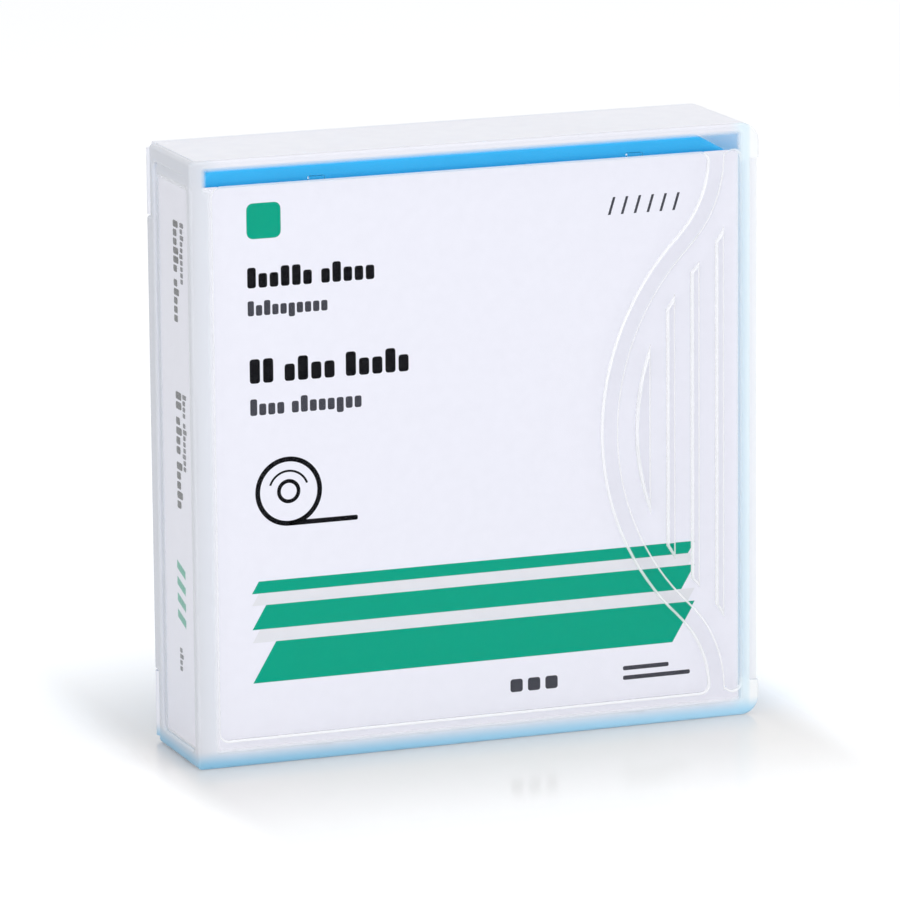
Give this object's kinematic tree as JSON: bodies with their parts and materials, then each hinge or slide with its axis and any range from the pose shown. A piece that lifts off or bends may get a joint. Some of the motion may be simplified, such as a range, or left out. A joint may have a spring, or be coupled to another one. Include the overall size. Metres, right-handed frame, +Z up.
{
  "type": "data tape cartridge in a hinged case",
  "caption": "Single-reel data tape cartridge with reel brake, sliding door and leader pin, in a clear hinged case with a sunk panel, a folded paper insert and a ribbed D-shaped finger grip.",
  "frame": {"origin": "centre of the bounding box's bottom face, on the surface that the closed case stands on", "axes": "+Z up, along the spine; +X from the spine with the hinge to the opening edge with the finger grip; +Y from the lid's printed front to the tray's back"},
  "size_m": [0.1086, 0.0252, 0.11],
  "materials": {
    "clear_plastic": "clear moulded plastic, slightly frosted",
    "paper": "coated paper printed in flat green and grey",
    "shell_blue": "bright blue moulded plastic, fine grain",
    "plated_steel": "zinc-plated steel",
    "door_grey": "grey moulded plastic",
    "spring_steel": "spring wire and strip",
    "slider_plastic": "red moulded plastic",
    "board_green": "green lacquered circuit board",
    "reel_plastic": "light grey moulded plastic",
    "tape": "dark brown coated film",
    "brake_plastic": "natural white moulded plastic",
    "pin_steel": "polished turned steel",
    "clip_plastic": "dark moulded plastic"
  },
  "bodies": {
    "tray": {"case_tray": "clear_plastic", "upper_shell": "shell_blue", "lower_shell": "shell_blue", "shell_screws": "plated_steel", "memory_board": "board_green", "leader_pin": "pin_steel", "pin_clip": "clip_plastic", "pin_springs": "spring_steel", "tape_leader": "tape", "door_spring": "spring_steel", "brake_spring": "spring_steel"},
    "lid": {"case_lid": "clear_plastic", "paper_insert": "paper"},
    "door": {"access_door": "door_grey"},
    "slider": {"write_protect_slider": "slider_plastic"},
    "reel": {"reel_hub": "reel_plastic", "upper_flange": "reel_plastic", "tape_pack": "tape", "clutch_plate": "plated_steel"},
    "brake": {"brake_button": "brake_plastic"},
    "release": {"release_plate": "brake_plastic"}
  },
  "joints": [
    {"name": "lid_hinge", "type": "hinge", "parent": "tray", "child": "lid", "pos_m": [-0.053, 0.0113, 0.055], "axis": [0, 0, -1], "range_deg": [0, 180]},
    {"name": "door_slide", "type": "slide", "parent": "tray", "child": "door", "axis": [-1, 0, 0], "range_m": [0, 0.0165], "stiffness_N_per_m": 20, "springref_m": -0.004, "deforming": ["door_spring"]},
    {"name": "write_protect_slide", "type": "slide", "parent": "tray", "child": "slider", "axis": [0, 0, 1], "range_m": [0, 0.004]},
    {"name": "reel_spin", "type": "hinge", "parent": "tray", "child": "reel", "pos_m": [-0.0006, 0, 0.0556], "axis": [0, 1, 0], "continuous": true},
    {"name": "brake_slide", "type": "slide", "parent": "tray", "child": "brake", "axis": [0, -1, 0], "range_m": [0, 0.0016], "stiffness_N_per_m": 300, "springref_m": -0.001, "deforming": ["brake_spring"]},
    {"name": "release_slide", "type": "slide", "parent": "reel", "child": "release", "axis": [0, -1, 0], "range_m": [0, 0.0016]}
  ],
  "couplings": [
    {"joint": "release_slide", "follows": "brake_slide", "ratio": 1}
  ]
}
